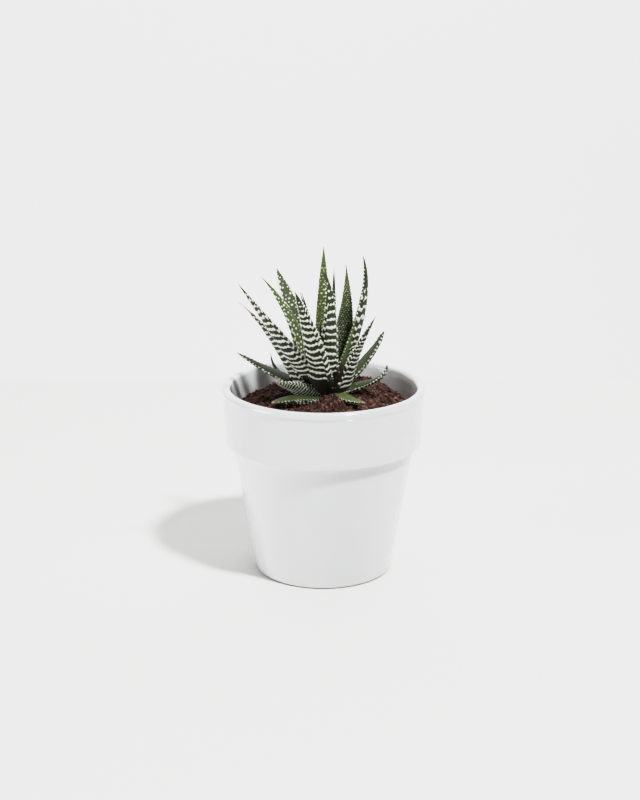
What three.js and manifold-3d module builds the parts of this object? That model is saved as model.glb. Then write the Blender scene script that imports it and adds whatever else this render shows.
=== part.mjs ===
import * as THREE from "three";
import { mergeVertices } from "three/addons/utils/BufferGeometryUtils.js";
import Module from "manifold-3d";

// A potted haworthia: stiff, pointed leaves with raised pale bands, packed on a short stem,
// in a round glazed pot filled with loose brown soil.
// Millimetres, +Z up. The origin is the middle of the pot's foot, on the plane it stands on.
// The viewer's side is -Y, and +X is to the viewer's right.

// The pot.
const POT_HEIGHT = 99;
const RIM_RADIUS = 52.5;
const LIP_THICKNESS = 4.3;
const LIP_HEIGHT = 4.2;
const BAND_HEIGHT = 30;
const BAND_TOP_RADIUS = 51.9;
const BAND_FOOT_RADIUS = 51;
const BODY_TOP_RADIUS = 47.5;
const FOOT_RADIUS = 36.2;
const WALL = 3.8;
const FLOOR_TOP = 5.5;
const FOOT_RING_INSIDE = 28;
const FOOT_RING_DEPTH = 1.5;
const DRAIN_RADIUS = 5;
const POT_SEGMENTS = 52;

// The soil.
const SOIL_CENTRE_HEIGHT = 92;
const SOIL_EDGE_HEIGHT = 85.9;
const SOIL_EDGE_TILT = 0.6;
const SOIL_HIGH_SIDE = 110;
const CLOD_HEIGHT = 0.45;
// The heaps on the mound: a high one at the back right, and lower ones at the back left, in front of
// the plant and over the foot of the low right leaves.
const SOIL_HEAPS = [
  { x: 21, y: 24, height: 6.4, spread: 10 },
  { x: -20, y: 28, height: 2.4, spread: 9 },
  { x: 3.5, y: -9.5, height: 3.8, spread: 5.5 },
  { x: 14.5, y: 3, height: 6.2, spread: 6 },
];
const SOIL_SEGMENTS = 40;
const SOIL_RINGS = 9;

// The stem, which the leaves grow from. It stands in a plain hole in the soil.
const STEM_X = 2;
const STEM_Y = -1;
const STEM_FOOT = 80;
const STEM_TOP = 111;
const STEM_RADIUS = 4.4;
const STEM_TOP_RADIUS = 1.6;

// The leaves. The bands are ridges across the outer face, and end as teeth at the edges.
const BAND_SPACING = 4.2;
const COARSE_BAND_SPACING = 6;
const BAND_RELIEF = 0.45;
const OUTER_BULGE = 0.72;
const INNER_BULGE = 0.28;
const FLARE_SPAN = 0.3;
const THINNEST = 0.6;

// The gap between neighbours, which keeps them separate solids.
const CLEARANCE = 0.4;

const POT_WHITE = { color: 0xeef0ef, roughness: 0.18, metalness: 0 };
const SOIL_BROWN = { color: 0x5a372b, roughness: 0.95, metalness: 0 };
const STEM_BROWN = { color: 0x6b5a3a, roughness: 0.85, metalness: 0 };
const DARK_GREEN = { color: 0x2f4a2e, roughness: 0.5, metalness: 0 };
const MID_GREEN = { color: 0x4f6b3a, roughness: 0.5, metalness: 0 };
const PALE_GREEN = { color: 0x7d9450, roughness: 0.5, metalness: 0 };
const DRIED_BROWN = { color: 0x8a5f3a, roughness: 0.9, metalness: 0 };

// Each leaf, from the outer ones to the youngest. An earlier leaf keeps its whole shape, and a
// later one is cut back where it would enter an earlier one.
//   azimuth    the way the leaf faces, in degrees, from +X towards +Y
//   root       how far its root lies from the stem's axis
//   height     its root's height
//   lean       its slope away from upright at the root and at the tip, in degrees
//   power      how late along the leaf the slope changes: 1 is even
//   flare      extra slope at the root, which makes the rosette's rounded foot
//   turn       how much its azimuth changes towards the tip
//   roll       how far its faces are turned about its midline at the root and at the tip
//   length, width, thickness   its sizes
//   taper      the tip's form: 0.7 is blunt, 1.2 is drawn out
//   spacing    how far apart its bands are
const LEAVES = [
  { name: "leaf_front_broad", azimuth: -111, root: 3, height: 95.5, lean: [17, 36], power: 1,
    flare: 32, turn: -10, roll: [-5, -8], length: 69.5, width: 13.8, thickness: 5, taper: 1.07 },
  { name: "leaf_front_hooked", azimuth: -94, root: 3, height: 97.5, lean: [11, -28], power: 3,
    flare: 34.5, turn: 64, roll: [-4, 26], length: 67.7, width: 11.4, thickness: 4.2, taper: 1.1 },
  { name: "leaf_right_tall", azimuth: 2, root: 3, height: 97.5, lean: [19.2, -11.2], power: 3.2,
    flare: 2, turn: -2, roll: [22, 14], length: 70.8, width: 14, thickness: 6, taper: 1.0 },
  { name: "leaf_left_long", azimuth: -145.5, root: 3, height: 98.5, lean: [37.4, 39.2], power: 1,
    flare: 14, turn: 0, roll: [-22, -5], length: 78.2, width: 15.2, thickness: 4.8, taper: 1.2 },
  { name: "leaf_left_dry_tip", azimuth: -174, root: 3, height: 96.5, lean: [26.6, 50.8], power: 2.3,
    flare: 82, turn: 15, roll: [-20, -15], length: 67.3, width: 14.3, thickness: 3.6, taper: 1.22 },
  { name: "leaf_right_mid", azimuth: -28.7, root: 3, height: 94.5, lean: [15, 33.3], power: 1, flare: 50,
    turn: 0, roll: [12, 0], length: 50.2, width: 13.6, thickness: 4, taper: 1.08 },
  { name: "leaf_low_front_left", azimuth: -156.4, root: 3, height: 91.9, lean: [55.1, 75.2], power: 1,
    flare: 0, turn: 5.7, roll: [-48, -33], length: 28.8, width: 12.4, thickness: 4.4, taper: 0.74 },
  { name: "leaf_low_right", azimuth: 22, root: 3, height: 94.5, lean: [50.5, 26.5], power: 1.8,
    flare: 0, turn: -12, roll: [0, 0], length: 41.2, width: 9.5, thickness: 3.8, taper: 0.65,
    finish: MID_GREEN },
  { name: "leaf_low_right_upturned", azimuth: 8.3, root: 3, height: 94.9, lean: [74.4, -1.2], power: 4.18,
    flare: 0, turn: -43.5, roll: [-4, -4], length: 34.5, width: 11, thickness: 3.8, taper: 0.89 },
  { name: "leaf_resting_right", azimuth: -44, root: 3, height: 96.7, lean: [104.9, 84.7], power: 1,
    flare: 0, turn: 0, roll: [0, 4], length: 24, width: 8.2, thickness: 4.2, taper: 0.9,
    finish: MID_GREEN },
  { name: "leaf_resting_left", azimuth: -151, root: 3, height: 91.5, lean: [75, 96], power: 1,
    flare: 0, turn: 0, roll: [-6, -10], length: 29.9, width: 13.6, thickness: 7, taper: 0.68 },
  { name: "leaf_low_left", azimuth: 173, root: 3, height: 95.8, lean: [73, 60], power: 1, flare: 5,
    turn: 0, roll: [5, 4], length: 48, width: 12.6, thickness: 4.2, taper: 1, finish: MID_GREEN },
  { name: "leaf_low_left_small", azimuth: 148, root: 3, height: 95, lean: [84, -4], power: 3,
    flare: 5, turn: 0, roll: [0, 0], length: 39.3, width: 6, thickness: 3, taper: 1 },
  { name: "leaf_left_blunt", azimuth: 140.9, root: 2.4, height: 103.5, lean: [25.3, 33.4], power: 1,
    flare: 37, turn: -6.9, roll: [12, 14], length: 61.4, width: 12.1, thickness: 4.4, taper: 0.855,
    spacing: COARSE_BAND_SPACING, finish: MID_GREEN },
  { name: "leaf_left_pale", azimuth: 183, root: 2.6, height: 100.5, lean: [0, 43], power: 1,
    flare: 76, turn: 6, roll: [12, 34], length: 65, width: 16.5, thickness: 6.4, taper: 1.4,
    spacing: COARSE_BAND_SPACING, finish: PALE_GREEN },
  { name: "leaf_right_dark", azimuth: 36, root: 1.8, height: 106.5, lean: [23.2, -7.2], power: 1,
    flare: 30, turn: 21, roll: [-28, -28], length: 56.2, width: 13.1, thickness: 4.2, taper: 1.35,
    spacing: COARSE_BAND_SPACING },
  { name: "leaf_centre_tallest", azimuth: 115, root: 1.5, height: 108, lean: [7.8, -6.1], power: 1,
    flare: 16.5, turn: -18, roll: [0, 0], length: 62.8, width: 9.7, thickness: 3.4, taper: 1.07,
    spacing: COARSE_BAND_SPACING, finish: PALE_GREEN },
  { name: "leaf_young_right", azimuth: 40, root: 1.4, height: 108.5, lean: [4, 0], power: 1,
    flare: 10, turn: 0, roll: [0, 0], length: 51, width: 5, thickness: 2.4, taper: 1,
    spacing: COARSE_BAND_SPACING },
  { name: "leaf_young_left_outer", azimuth: -152, root: 1.6, height: 105.5, lean: [14, 20], power: 1,
    flare: 10, turn: 0, roll: [0, 0], length: 45.5, width: 4.6, thickness: 2.2, taper: 1,
    spacing: COARSE_BAND_SPACING },
  { name: "leaf_young_left_inner", azimuth: 178, root: 1.6, height: 107, lean: [12, 18], power: 1,
    flare: 10, turn: 0, roll: [0, 0], length: 42, width: 5.4, thickness: 2.4, taper: 1,
    spacing: COARSE_BAND_SPACING },
  { name: "leaf_heart", azimuth: -120, root: 2, height: 105.5, lean: [12, 10], power: 1, flare: 10,
    turn: 0, roll: [0, 0], length: 28, width: 4.5, thickness: 2.4, taper: 1,
    spacing: COARSE_BAND_SPACING },
  { name: "leaf_back_tall_right", azimuth: 62, root: 2.6, height: 99.5, lean: [30, 14], power: 1,
    flare: 34, turn: 0, roll: [0, 0], length: 45, width: 11, thickness: 4.2, taper: 1.1,
    spacing: COARSE_BAND_SPACING, finish: MID_GREEN },
  { name: "leaf_back_tall_left", azimuth: 94, root: 2.6, height: 103.5, lean: [20, 12], power: 1,
    flare: 34, turn: 0, roll: [0, 0], length: 38, width: 9, thickness: 4.2, taper: 1,
    spacing: COARSE_BAND_SPACING, finish: MID_GREEN },
  { name: "leaf_back_spreading_right", azimuth: 74, root: 3, height: 95.5, lean: [58, 46], power: 1,
    flare: 10, turn: 0, roll: [0, 0], length: 44, width: 9.5, thickness: 3.8, taper: 1,
    spacing: COARSE_BAND_SPACING, finish: MID_GREEN },
  { name: "leaf_back_spreading_left", azimuth: 116, root: 3, height: 95.5, lean: [58, 48], power: 1,
    flare: 10, turn: 0, roll: [0, 0], length: 40, width: 9.5, thickness: 3.8, taper: 1,
    spacing: COARSE_BAND_SPACING, finish: MID_GREEN },
  { name: "leaf_back_mid_left", azimuth: 130, root: 3, height: 98.5, lean: [46, 36], power: 1,
    flare: 20, turn: 0, roll: [0, 0], length: 36, width: 9, thickness: 3.8, taper: 1,
    spacing: COARSE_BAND_SPACING },
  { name: "leaf_back_mid_right", azimuth: 40, root: 3, height: 97.5, lean: [54, 34], power: 1,
    flare: 20, turn: 0, roll: [0, 0], length: 32, width: 9, thickness: 3.8, taper: 1,
    spacing: COARSE_BAND_SPACING },
  { name: "leaf_back_resting", azimuth: 95, root: 3, height: 92.5, lean: [80, 70], power: 1,
    flare: 0, turn: 0, roll: [0, 0], length: 36, width: 9, thickness: 3.8, taper: 1,
    spacing: COARSE_BAND_SPACING },
  { name: "leaf_back_low_right", azimuth: 56, root: 3, height: 93.5, lean: [72, 44], power: 1,
    flare: 0, turn: 0, roll: [0, 0], length: 30, width: 8.5, thickness: 3.6, taper: 1,
    spacing: COARSE_BAND_SPACING },
  { name: "leaf_back_low_left", azimuth: 132, root: 3, height: 93.5, lean: [72, 52], power: 1,
    flare: 0, turn: 0, roll: [0, 0], length: 36, width: 8.5, thickness: 3.6, taper: 1,
    spacing: COARSE_BAND_SPACING },
  { name: "leaf_dried", azimuth: -60, root: 5.5, height: 95.5, lean: [38, 12], power: 1, flare: 0,
    turn: 0, roll: [0, 0], length: 21, width: 6, thickness: 1.6, taper: 0.7,
    spacing: COARSE_BAND_SPACING, finish: DRIED_BROWN },
];

const manifold = await Module();
manifold.setup();

// A solid from a closed geometry.
function solidOf(geometry) {
  geometry.deleteAttribute("normal");
  geometry.deleteAttribute("uv");
  const merged = mergeVertices(geometry, 1e-4);
  return new manifold.Manifold(
    new manifold.Mesh({
      numProp: 3,
      vertProperties: merged.attributes.position.array,
      triVerts: new Uint32Array(merged.index.array),
    }),
  );
}

// A flat-shaded geometry from a solid.
function geometryOf(solid) {
  const mesh = solid.getMesh();
  const geometry = new THREE.BufferGeometry();
  geometry.setAttribute("position", new THREE.BufferAttribute(mesh.vertProperties, 3));
  geometry.setIndex(new THREE.BufferAttribute(mesh.triVerts, 1));
  const faceted = geometry.toNonIndexed();
  faceted.computeVertexNormals();
  return faceted;
}

// A profile of [radius, height] pairs turned about +Z.
function turned(profile, segments) {
  const points = profile.map(([radius, height]) => new THREE.Vector2(radius, height));
  return new THREE.LatheGeometry(points, segments).rotateX(Math.PI / 2);
}

// A closed skin over a row of rings with equal numbers of points, capped at both ends.
function skinned(rings) {
  const count = rings[0].length;
  const positions = rings.flat().flatMap((point) => [point.x, point.y, point.z]);
  const faces = [];
  for (let ring = 0; ring < rings.length - 1; ring++) {
    for (let i = 0; i < count; i++) {
      const a = ring * count + i;
      const b = ring * count + ((i + 1) % count);
      faces.push(a, b, b + count, a, b + count, a + count);
    }
  }
  const last = (rings.length - 1) * count;
  for (let i = 1; i < count - 1; i++) {
    faces.push(0, i + 1, i);
    faces.push(last, last + i, last + i + 1);
  }
  const geometry = new THREE.BufferGeometry();
  geometry.setAttribute("position", new THREE.Float32BufferAttribute(positions, 3));
  geometry.setIndex(faces);
  return geometry;
}

// The radius of the pot's inner wall at a height: a cone under the lip, then the body's own slope.
function innerRadius(height) {
  const shoulder = POT_HEIGHT - BAND_HEIGHT;
  const lip = RIM_RADIUS - LIP_THICKNESS;
  const body = BODY_TOP_RADIUS - WALL;
  if (height > shoulder) {
    return THREE.MathUtils.mapLinear(height, shoulder, POT_HEIGHT, body, lip);
  }
  return THREE.MathUtils.mapLinear(height, 0, shoulder, FOOT_RADIUS - WALL, body);
}

// The pot: a tapering body on a foot ring, with a deep band round the top, a rounded lip that
// stands out a little from the band, and a drain hole.
function makePot() {
  const shoulder = POT_HEIGHT - BAND_HEIGHT;
  const lip = LIP_THICKNESS / 2;
  const profile = [
    [FOOT_RING_INSIDE, FOOT_RING_DEPTH],
    [FOOT_RING_INSIDE + 0.8, 0],
    [FOOT_RADIUS - 2, 0],
    [FOOT_RADIUS - 0.6, 0.5],
    [FOOT_RADIUS, 1.8],
    [BODY_TOP_RADIUS, shoulder - 1.2],
    [BODY_TOP_RADIUS + 0.8, shoulder],
    [BAND_FOOT_RADIUS - 0.9, shoulder],
    [BAND_FOOT_RADIUS - 0.2, shoulder + 0.4],
    [BAND_FOOT_RADIUS, shoulder + 1.3],
    [BAND_TOP_RADIUS, POT_HEIGHT - LIP_HEIGHT],
  ];
  for (let step = -1; step <= 6; step++) {
    const angle = (step / 6) * Math.PI;
    profile.push([
      RIM_RADIUS - lip + lip * Math.cos(angle),
      POT_HEIGHT - lip + lip * Math.sin(angle),
    ]);
  }
  profile.push(
    [innerRadius(shoulder), shoulder],
    [innerRadius(FLOOR_TOP + 4), FLOOR_TOP + 4],
    [innerRadius(FLOOR_TOP) - 3, FLOOR_TOP],
    [DRAIN_RADIUS, FLOOR_TOP],
    [DRAIN_RADIUS, FOOT_RING_DEPTH],
    [FOOT_RING_INSIDE, FOOT_RING_DEPTH],
  );
  return solidOf(turned(profile, POT_SEGMENTS));
}

// The height of the soil at a point: a low mound, higher at the back, with rounded heaps on it and
// loose clods.
function soilHeight(x, y) {
  const out = Math.min(Math.hypot(x, y) / innerRadius(SOIL_EDGE_HEIGHT), 1);
  const angle = Math.atan2(y, x) - THREE.MathUtils.degToRad(SOIL_HIGH_SIDE);
  const edge = SOIL_EDGE_HEIGHT + SOIL_EDGE_TILT * Math.cos(angle);
  const clods = Math.sin(0.93 * x + 1.7 * Math.sin(0.41 * y)) * Math.cos(0.87 * y + 0.6 * x);
  let height = THREE.MathUtils.lerp(SOIL_CENTRE_HEIGHT, edge, out ** 1.7) + CLOD_HEIGHT * clods;
  for (const heap of SOIL_HEAPS) {
    const away = Math.hypot(x - heap.x, y - heap.y) / heap.spread;
    height += heap.height * Math.exp(-away * away / 2);
  }
  return height;
}

// A ring of points of the soil, between the stem's hole (share 0) and the pot's wall (share 1).
function soilRing(share, radius, heightAt) {
  const ring = [];
  for (let i = 0; i < SOIL_SEGMENTS; i++) {
    const angle = (i / SOIL_SEGMENTS) * 2 * Math.PI;
    const x = STEM_X * (1 - share) + radius * Math.cos(angle);
    const y = STEM_Y * (1 - share) + radius * Math.sin(angle);
    ring.push(new THREE.Vector3(x, y, heightAt(x, y)));
  }
  return ring;
}

// The soil fills the pot up to the uneven mound, with a plain hole for the stem's foot.
function makeSoil() {
  const shoulder = POT_HEIGHT - BAND_HEIGHT;
  const floor = FLOOR_TOP + CLEARANCE;
  const hole = STEM_RADIUS + CLEARANCE;
  const outside = (height) => innerRadius(height) - CLEARANCE - 0.1;
  const rings = [
    soilRing(1, outside(floor) - 3.4, () => floor),
    soilRing(1, outside(floor + 4), () => floor + 4),
    soilRing(1, outside(shoulder), () => shoulder),
  ];
  for (let step = 0; step <= SOIL_RINGS; step++) {
    const share = 1 - step / SOIL_RINGS;
    const wall = outside(SOIL_EDGE_HEIGHT - SOIL_EDGE_TILT - 1);
    rings.push(soilRing(share, THREE.MathUtils.lerp(hole, wall, share), soilHeight));
  }
  rings.push(soilRing(0, hole, () => STEM_FOOT - CLEARANCE));
  return solidOf(skinned(rings));
}

// The stem: a short, tapering column with a rounded foot. Grown by an amount, it cuts the leaves.
function makeStem(grown = 0) {
  const profile = [
    [0, STEM_FOOT - grown],
    [STEM_RADIUS - 1.4 + grown, STEM_FOOT - grown],
    [STEM_RADIUS + grown, STEM_FOOT + 2],
    [STEM_RADIUS + grown, SOIL_CENTRE_HEIGHT],
    [STEM_RADIUS - 0.6 + grown, SOIL_CENTRE_HEIGHT + 6],
    [STEM_RADIUS - 1.6 + grown, STEM_TOP - 4],
    [STEM_TOP_RADIUS + grown, STEM_TOP - 1],
    [0, STEM_TOP + grown],
  ];
  return solidOf(turned(profile, 20).translate(STEM_X, STEM_Y, 0));
}

// A leaf's axes at a share t of its length: ahead along it, under out of its outer face, and side.
function axesAt(leaf, t) {
  const [first, last] = leaf.lean;
  const foot = leaf.flare * Math.max(1 - t / FLARE_SPAN, 0) ** 2;
  const lean = THREE.MathUtils.degToRad(first + (last - first) * t ** leaf.power + foot);
  const facing = THREE.MathUtils.degToRad(leaf.azimuth + leaf.turn * t);
  const out = new THREE.Vector3(Math.cos(facing), Math.sin(facing), 0);
  const up = new THREE.Vector3(0, 0, 1);
  const ahead = out.clone().multiplyScalar(Math.sin(lean)).addScaledVector(up, Math.cos(lean));
  const under = out.clone().multiplyScalar(Math.cos(lean)).addScaledVector(up, -Math.sin(lean));
  const side = ahead.clone().cross(under);
  const twist = THREE.MathUtils.degToRad(THREE.MathUtils.lerp(...leaf.roll, t));
  side.applyAxisAngle(ahead, -twist);
  under.applyAxisAngle(ahead, -twist);
  return { ahead, under, side };
}

// A leaf's width at a share t of its length, as a share of its greatest width: a broad root, a
// convex lower half and a drawn-out tip.
function widthShare(leaf, t) {
  const root = 0.74 + 0.26 * Math.sin((Math.min(t / 0.2, 1) * Math.PI) / 2);
  return 0.02 + 0.96 * root * Math.max(1 - t, 0) ** leaf.taper * (1 + 0.9 * t);
}

// The ring of points round a leaf's midline. The outer face bulges, the inner one is nearly flat.
// Its points go from one edge over the inner face to the other edge and back over the outer face.
function sectionRing(leaf, t, midpoint, grown, raised) {
  const share = widthShare(leaf, t);
  const across = Math.max((leaf.width / 2) * share, THINNEST / 2) + grown;
  const through = Math.max(leaf.thickness * share ** 0.8, THINNEST);
  const { under, side } = axesAt(leaf, t);
  return [0, 90, 180, 216, 252, 288, 324].map((degrees) => {
    const angle = THREE.MathUtils.degToRad(degrees);
    const outer = degrees > 180;
    const ridge = outer ? raised : raised / 2;
    const bulge = outer ? OUTER_BULGE * through + raised + grown : INNER_BULGE * through + grown;
    return midpoint
      .clone()
      .addScaledVector(side, Math.cos(angle) * (across + ridge))
      .addScaledVector(under, -Math.sin(angle) * bulge);
  });
}

// The shares of a leaf's length where its rings stand: a groove and a ridge for each band.
function bandStations(leaf) {
  const count = Math.round(leaf.length / (leaf.spacing ?? BAND_SPACING));
  const stations = [{ t: 0, raised: 0 }];
  for (let band = 0; band < count; band++) {
    stations.push({ t: (band + 0.5) / count, raised: BAND_RELIEF * (1 - 0.5 * (band / count)) });
    stations.push({ t: (band + 1) / count, raised: 0 });
  }
  return stations;
}

// The shares of a leaf's length where its smooth envelope has rings: over the ridges alone.
function envelopeStations(leaf) {
  const ridges = bandStations(leaf).filter((station, index) => index % 2 === 1);
  return [{ t: 0 }, ...ridges, { t: 1 }].map(({ t }) => ({ t, raised: 0 }));
}

// A leaf as a skin over rings along its midline, which is followed in short steps. Grown by an
// amount, its ends are set out by as much as its faces.
function sweptLeaf(leaf, stations, grown) {
  const facing = THREE.MathUtils.degToRad(leaf.azimuth);
  const midpoint = new THREE.Vector3(
    STEM_X + leaf.root * Math.cos(facing),
    STEM_Y + leaf.root * Math.sin(facing),
    leaf.height,
  );
  const stride = 8;
  let reached = 0;
  const rings = stations.map(({ t, raised }) => {
    const step = (t - reached) / stride;
    for (let i = 0; i < stride; i++) {
      const { ahead } = axesAt(leaf, reached + (i + 0.5) * step);
      midpoint.addScaledVector(ahead, leaf.length * step);
    }
    reached = t;
    const set = t === 0 ? -grown : t === 1 ? grown : 0;
    const middle = midpoint.clone().addScaledVector(axesAt(leaf, t).ahead, set);
    return sectionRing(leaf, t, middle, grown, raised);
  });
  return solidOf(skinned(rings));
}

// The leaf as it is, with its bands.
function makeLeaf(leaf) {
  return sweptLeaf(leaf, bandStations(leaf), 0);
}

// The leaf's smooth envelope, which keeps its neighbours clear of its bands.
function makeLeafRoom(leaf) {
  return sweptLeaf(leaf, envelopeStations(leaf), CLEARANCE + BAND_RELIEF);
}

// The largest of the bodies that a cut leaves.
function largestBody(solid) {
  const bodies = solid.decompose();
  return bodies.reduce((best, body) => (body.volume() > best.volume() ? body : best));
}

// The leaves, each cut back from the stem and from the leaves before it.
function makeLeaves() {
  const rooms = [makeStem(CLEARANCE)];
  return LEAVES.map((leaf) => {
    let solid = makeLeaf(leaf);
    for (const room of rooms) {
      solid = solid.subtract(room);
    }
    rooms.push(makeLeafRoom(leaf));
    return { name: leaf.name, solid: largestBody(solid), finish: leaf.finish ?? DARK_GREEN };
  });
}

// The soil gives way under the leaves that lie on it.
function hollowedSoil() {
  let soil = makeSoil();
  for (const leaf of LEAVES) {
    soil = soil.subtract(makeLeafRoom(leaf));
  }
  return largestBody(soil);
}

function meshOf({ name, solid, finish }) {
  const mesh = new THREE.Mesh(geometryOf(solid), new THREE.MeshStandardMaterial(finish));
  mesh.name = name;
  return mesh;
}

const plant = new THREE.Group();
plant.add(meshOf({ name: "stem", solid: makeStem(), finish: STEM_BROWN }));
plant.add(...makeLeaves().map(meshOf));

const group = new THREE.Group();
group.add(meshOf({ name: "pot", solid: makePot(), finish: POT_WHITE }));
group.add(meshOf({ name: "soil", solid: hollowedSoil(), finish: SOIL_BROWN }));
group.add(plant);

export default group;
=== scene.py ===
"""The looks of a potted haworthia.

Stiff, pointed leaves with raised white tubercles grow from a short stem, in a white glazed pot
of loose red-brown soil. Sizes are millimetres in the part's own frame, +Z up, with the origin
under the middle of the pot's foot; they become metres where a mesh, lamp or camera is made.
"""

import logging
import math
from dataclasses import dataclass, field
from enum import Enum

import bpy
import numpy as np
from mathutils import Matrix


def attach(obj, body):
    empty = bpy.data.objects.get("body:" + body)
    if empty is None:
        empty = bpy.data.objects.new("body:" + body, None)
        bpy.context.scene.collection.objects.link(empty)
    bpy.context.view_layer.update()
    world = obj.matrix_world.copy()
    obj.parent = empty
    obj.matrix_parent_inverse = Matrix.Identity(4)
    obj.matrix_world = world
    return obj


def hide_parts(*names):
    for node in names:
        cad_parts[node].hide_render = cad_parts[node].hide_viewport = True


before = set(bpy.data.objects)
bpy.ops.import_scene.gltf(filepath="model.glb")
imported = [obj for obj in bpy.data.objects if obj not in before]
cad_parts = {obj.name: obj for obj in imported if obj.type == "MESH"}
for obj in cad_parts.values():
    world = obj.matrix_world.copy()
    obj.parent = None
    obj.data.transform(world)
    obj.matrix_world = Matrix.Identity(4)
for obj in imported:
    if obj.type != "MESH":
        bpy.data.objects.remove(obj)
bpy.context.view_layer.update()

LOG = logging.getLogger("potted_haworthia")

Array = np.ndarray
Colour = tuple[float, float, float]

MM = 0.001
BODY = "root"


def smooth(x: Array, low: float, high: float) -> Array:
    """A ramp from 0 at low to 1 at high with level ends, 3r² − 2r³ of the share r.

    Args:
        x: Values.
        low: The value that gives 0.
        high: The value that gives 1.

    Returns:
        The ramp at each value.
    """
    share = np.clip((x - low) / (high - low), 0.0, 1.0)
    return share * share * (3.0 - 2.0 * share)


def chance(i: Array, j: Array, seed: int) -> Array:
    """A fixed draw between 0 and 1 for each pair of whole numbers, from mixed integer products.

    Args:
        i: First whole numbers.
        j: Second whole numbers.
        seed: Which draw.

    Returns:
        One value in 0 to 1 for each pair.
    """
    mask = np.uint64(0xFFFFFFFF)
    i, j = np.broadcast_arrays(np.asarray(i), np.asarray(j))
    mixed = i.astype(np.int64).astype(np.uint64) * np.uint64(374761393)
    mixed = mixed + j.astype(np.int64).astype(np.uint64) * np.uint64(668265263)
    mixed = (mixed + np.uint64(seed * 2246822519 + 974711)) & mask
    mixed = ((mixed ^ (mixed >> np.uint64(13))) * np.uint64(1274126177)) & mask
    mixed = ((mixed ^ (mixed >> np.uint64(15))) * np.uint64(2246822519)) & mask
    return (mixed ^ (mixed >> np.uint64(16))).astype(float) / float(0xFFFFFFFF)


def ripple(x: Array, y: Array, seed: int) -> Array:
    """Smooth noise: draws at whole places, blended between them by 3r² − 2r³.

    Args:
        x: First coordinates, in cells.
        y: Second coordinates, in cells.
        seed: Which noise.

    Returns:
        Values in −1 to 1.
    """
    x, y = np.broadcast_arrays(np.asarray(x, float), np.asarray(y, float))
    i, j = np.floor(x), np.floor(y)
    across, along = smooth(x - i, 0, 1), smooth(y - j, 0, 1)
    low = chance(i, j, seed) * (1 - across) + chance(i + 1, j, seed) * across
    high = chance(i, j + 1, seed) * (1 - across) + chance(i + 1, j + 1, seed) * across
    return 2 * (low * (1 - along) + high * along) - 1


def unit(vectors: Array) -> Array:
    """Each vector at length 1."""
    return vectors / np.maximum(np.linalg.norm(vectors, axis=-1, keepdims=True), 1e-12)


def make_object(name: str, points: Array, faces: list[Array], finish: bpy.types.Material,
                surface: dict[str, Array] | None = None, smoothed: bool = True) -> bpy.types.Object:
    """A mesh object from arrays, at the origin, with its faces turned outwards.

    The sign of the summed volume of the cones from the origin over every face says whether the
    faces point in, and then their corners are reversed.

    Args:
        name: The object's name.
        points: Points, n × 3, in millimetres.
        faces: Arrays of corner numbers, each m × 3 or m × 4.
        finish: Its material.
        surface: Values for each point, by attribute name.
        smoothed: Whether its shading is smooth.

    Returns:
        The linked object.
    """
    volume = 0.0
    for part in faces:
        corners = points[part]
        for k in range(1, part.shape[1] - 1):
            cone = np.cross(corners[:, k], corners[:, k + 1])
            volume += float(np.einsum("ij,ij->", corners[:, 0], cone))
    turned = [part[:, ::-1] if volume < 0 else part for part in faces]
    loops = np.concatenate([part.ravel() for part in turned])
    sizes = np.concatenate([np.full(len(part), part.shape[1]) for part in turned])
    mesh = bpy.data.meshes.new(name)
    mesh.vertices.add(len(points))
    mesh.vertices.foreach_set("co", (points * MM).astype(np.float32).ravel())
    mesh.loops.add(len(loops))
    mesh.loops.foreach_set("vertex_index", loops.astype(np.int32))
    mesh.polygons.add(len(sizes))
    starts = np.concatenate([[0], np.cumsum(sizes)[:-1]])
    mesh.polygons.foreach_set("loop_start", starts.astype(np.int32))
    mesh.polygons.foreach_set("use_smooth", np.full(len(sizes), smoothed))
    for key, values in (surface or {}).items():
        attribute = mesh.attributes.new(key, "FLOAT", "POINT")
        attribute.data.foreach_set("value", values.astype(np.float32).ravel())
    mesh.update(calc_edges=True)
    mesh.validate()
    mesh.materials.append(finish)
    piece = bpy.data.objects.new(name, mesh)
    bpy.context.scene.collection.objects.link(piece)
    return piece


def grid_faces(rows: int, around: int, wrapped: bool = False) -> Array:
    """Four-cornered faces over rows of points that close on themselves sideways.

    Args:
        rows: How many rows.
        around: Points in a row.
        wrapped: Whether the last row joins the first.

    Returns:
        Corner numbers, m × 4.
    """
    first = np.arange(rows if wrapped else rows - 1)[:, None] * around
    column = np.arange(around)[None, :]
    beside = (column + 1) % around
    beyond = (first + around) % (rows * around)
    corners = [first + column, first + beside, beyond + beside, beyond + column]
    return np.stack(corners, -1).reshape(-1, 4)


def pole_faces(ring: int, around: int, pole: int, reverse: bool) -> Array:
    """A fan of triangles from one point over the ring that starts at a point number."""
    column = np.arange(around)
    beside = (column + 1) % around
    order = [beside, column] if reverse else [column, beside]
    return np.stack([ring + order[0], ring + order[1], np.full(around, pole)], -1)


def closed_skin(rows: Array) -> tuple[Array, list[Array]]:
    """A skin over rings of points, closed at each end by a fan over the ring's middle.

    Args:
        rows: Rings, rows × around × 3.

    Returns:
        The points, with the two poles last, and the faces.
    """
    count, around = rows.shape[:2]
    flat = rows.reshape(-1, 3)
    points = np.vstack([flat, rows[0].mean(0), rows[-1].mean(0)])
    faces = [
        grid_faces(count, around),
        pole_faces(0, around, len(flat), True),
        pole_faces((count - 1) * around, around, len(flat) + 1, False),
    ]
    return points, faces


def with_poles(values: Array) -> Array:
    """Values for closed_skin's points, from values on its rings: each pole takes its ring's mean."""
    return np.concatenate([values.ravel(), [values[0].mean(), values[-1].mean()]])


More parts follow.
